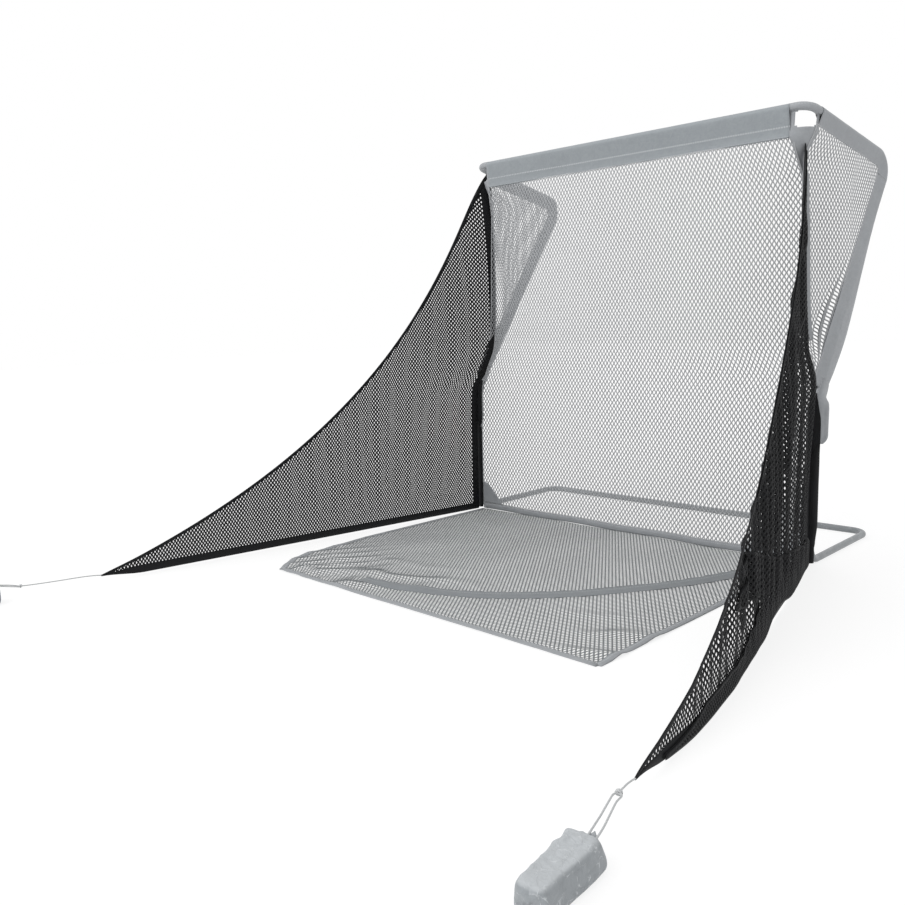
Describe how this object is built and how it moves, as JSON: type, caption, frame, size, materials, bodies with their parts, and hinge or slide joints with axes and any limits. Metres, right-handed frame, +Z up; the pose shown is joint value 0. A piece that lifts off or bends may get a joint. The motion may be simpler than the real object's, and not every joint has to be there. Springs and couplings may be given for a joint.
{
  "type": "golf practice net",
  "caption": "Freestanding golf practice net: bent steel tube cage with header, impact net, side nets and floor net, and two black net wings drawn forward to weight bags.",
  "frame": {"origin": "on the floor, in the middle of the cage's front base line, on the underside of the floor net", "axes": "+X to the golfer's right, +Y into the net, away from the golfer, +Z up"},
  "size_m": [3.6914, 4.365, 2.4064],
  "materials": {
    "steel_tube": "satin powder coat",
    "button_steel": "satin",
    "grey_cloth": "woven, matt",
    "grey_net": "knotless mesh",
    "black_net": "knotless mesh",
    "black_webbing": "woven, matt",
    "pale_cord": "braided",
    "bag_cloth": "thin woven cloth, slightly shiny"
  },
  "bodies": {
    "cage": {"crossbar_left": "steel_tube", "crossbar_right": "steel_tube", "crossbar_joiner": "steel_tube", "top_elbow_left": "steel_tube", "top_elbow_right": "steel_tube", "roof_tube_left": "steel_tube", "roof_tube_right": "steel_tube", "rear_bend_left": "steel_tube", "rear_bend_right": "steel_tube", "diagonal_tube_left": "steel_tube", "diagonal_tube_right": "steel_tube", "knee_bend_left": "steel_tube", "knee_bend_right": "steel_tube", "upright_left": "steel_tube", "upright_right": "steel_tube", "base_bend_left": "steel_tube", "base_bend_right": "steel_tube", "base_tube_left": "steel_tube", "base_tube_right": "steel_tube", "rear_base_bend_left": "steel_tube", "rear_base_bend_right": "steel_tube", "rear_bar_left": "steel_tube", "rear_bar_right": "steel_tube", "rear_bar_joiner": "steel_tube", "header_band": "grey_cloth", "roof_sleeve_left": "grey_cloth", "roof_sleeve_right": "grey_cloth", "diagonal_sleeve_left": "grey_cloth", "diagonal_sleeve_right": "grey_cloth", "corner_cover_left": "grey_cloth", "corner_cover_right": "grey_cloth", "base_patch_left": "grey_cloth", "base_patch_right": "grey_cloth", "front_hem": "grey_cloth", "main_net": "grey_net", "side_net_left": "grey_net", "side_net_right": "grey_net", "floor_net": "grey_net", "floor_hem": "grey_cloth", "floor_band": "grey_cloth"},
    "left_wing": {"wing_net_left": "black_net", "wing_hem_left": "black_webbing", "wing_straps_left": "black_webbing", "wing_cord_left": "pale_cord", "cord_knot_left": "pale_cord", "drawcord_left": "pale_cord", "weight_bag_left": "bag_cloth"},
    "right_wing": {"wing_net_right": "black_net", "wing_hem_right": "black_webbing", "wing_straps_right": "black_webbing", "wing_cord_right": "pale_cord", "cord_knot_right": "pale_cord", "drawcord_right": "pale_cord", "weight_bag_right": "bag_cloth"},
    "crossbar_button_left": {"crossbar_button_left": "button_steel"},
    "crossbar_button_right": {"crossbar_button_right": "button_steel"},
    "roof_button_left": {"roof_button_left": "button_steel"},
    "roof_button_right": {"roof_button_right": "button_steel"},
    "upright_button_left": {"upright_button_left": "button_steel"},
    "upright_button_right": {"upright_button_right": "button_steel"}
  },
  "joints": [
    {"name": "left_wing_swing", "type": "hinge", "parent": "cage", "child": "left_wing", "pos_m": [-1.2, 0, 0], "axis": [0, 0, 1], "range_deg": [-25, 8]},
    {"name": "right_wing_swing", "type": "hinge", "parent": "cage", "child": "right_wing", "pos_m": [1.2, 0, 0], "axis": [0, 0, 1], "range_deg": [-11, 25]},
    {"name": "crossbar_button_left_press", "type": "slide", "parent": "cage", "child": "crossbar_button_left", "axis": [0, 0, 1], "range_m": [0, 0.003], "stiffness_N_per_m": 2000, "springref_m": -0.002},
    {"name": "crossbar_button_right_press", "type": "slide", "parent": "cage", "child": "crossbar_button_right", "axis": [0, 0, 1], "range_m": [0, 0.003], "stiffness_N_per_m": 2000, "springref_m": -0.002},
    {"name": "roof_button_left_press", "type": "slide", "parent": "cage", "child": "roof_button_left", "axis": [0, 0.1807, 0.9835], "range_m": [0, 0.003], "stiffness_N_per_m": 2000, "springref_m": -0.002},
    {"name": "roof_button_right_press", "type": "slide", "parent": "cage", "child": "roof_button_right", "axis": [0, 0.1807, 0.9835], "range_m": [0, 0.003], "stiffness_N_per_m": 2000, "springref_m": -0.002},
    {"name": "upright_button_left_press", "type": "slide", "parent": "cage", "child": "upright_button_left", "axis": [-0.9999, 0.0104, 0], "range_m": [0, 0.003], "stiffness_N_per_m": 2000, "springref_m": -0.002},
    {"name": "upright_button_right_press", "type": "slide", "parent": "cage", "child": "upright_button_right", "axis": [0.9999, 0.0104, 0], "range_m": [0, 0.003], "stiffness_N_per_m": 2000, "springref_m": -0.002}
  ]
}
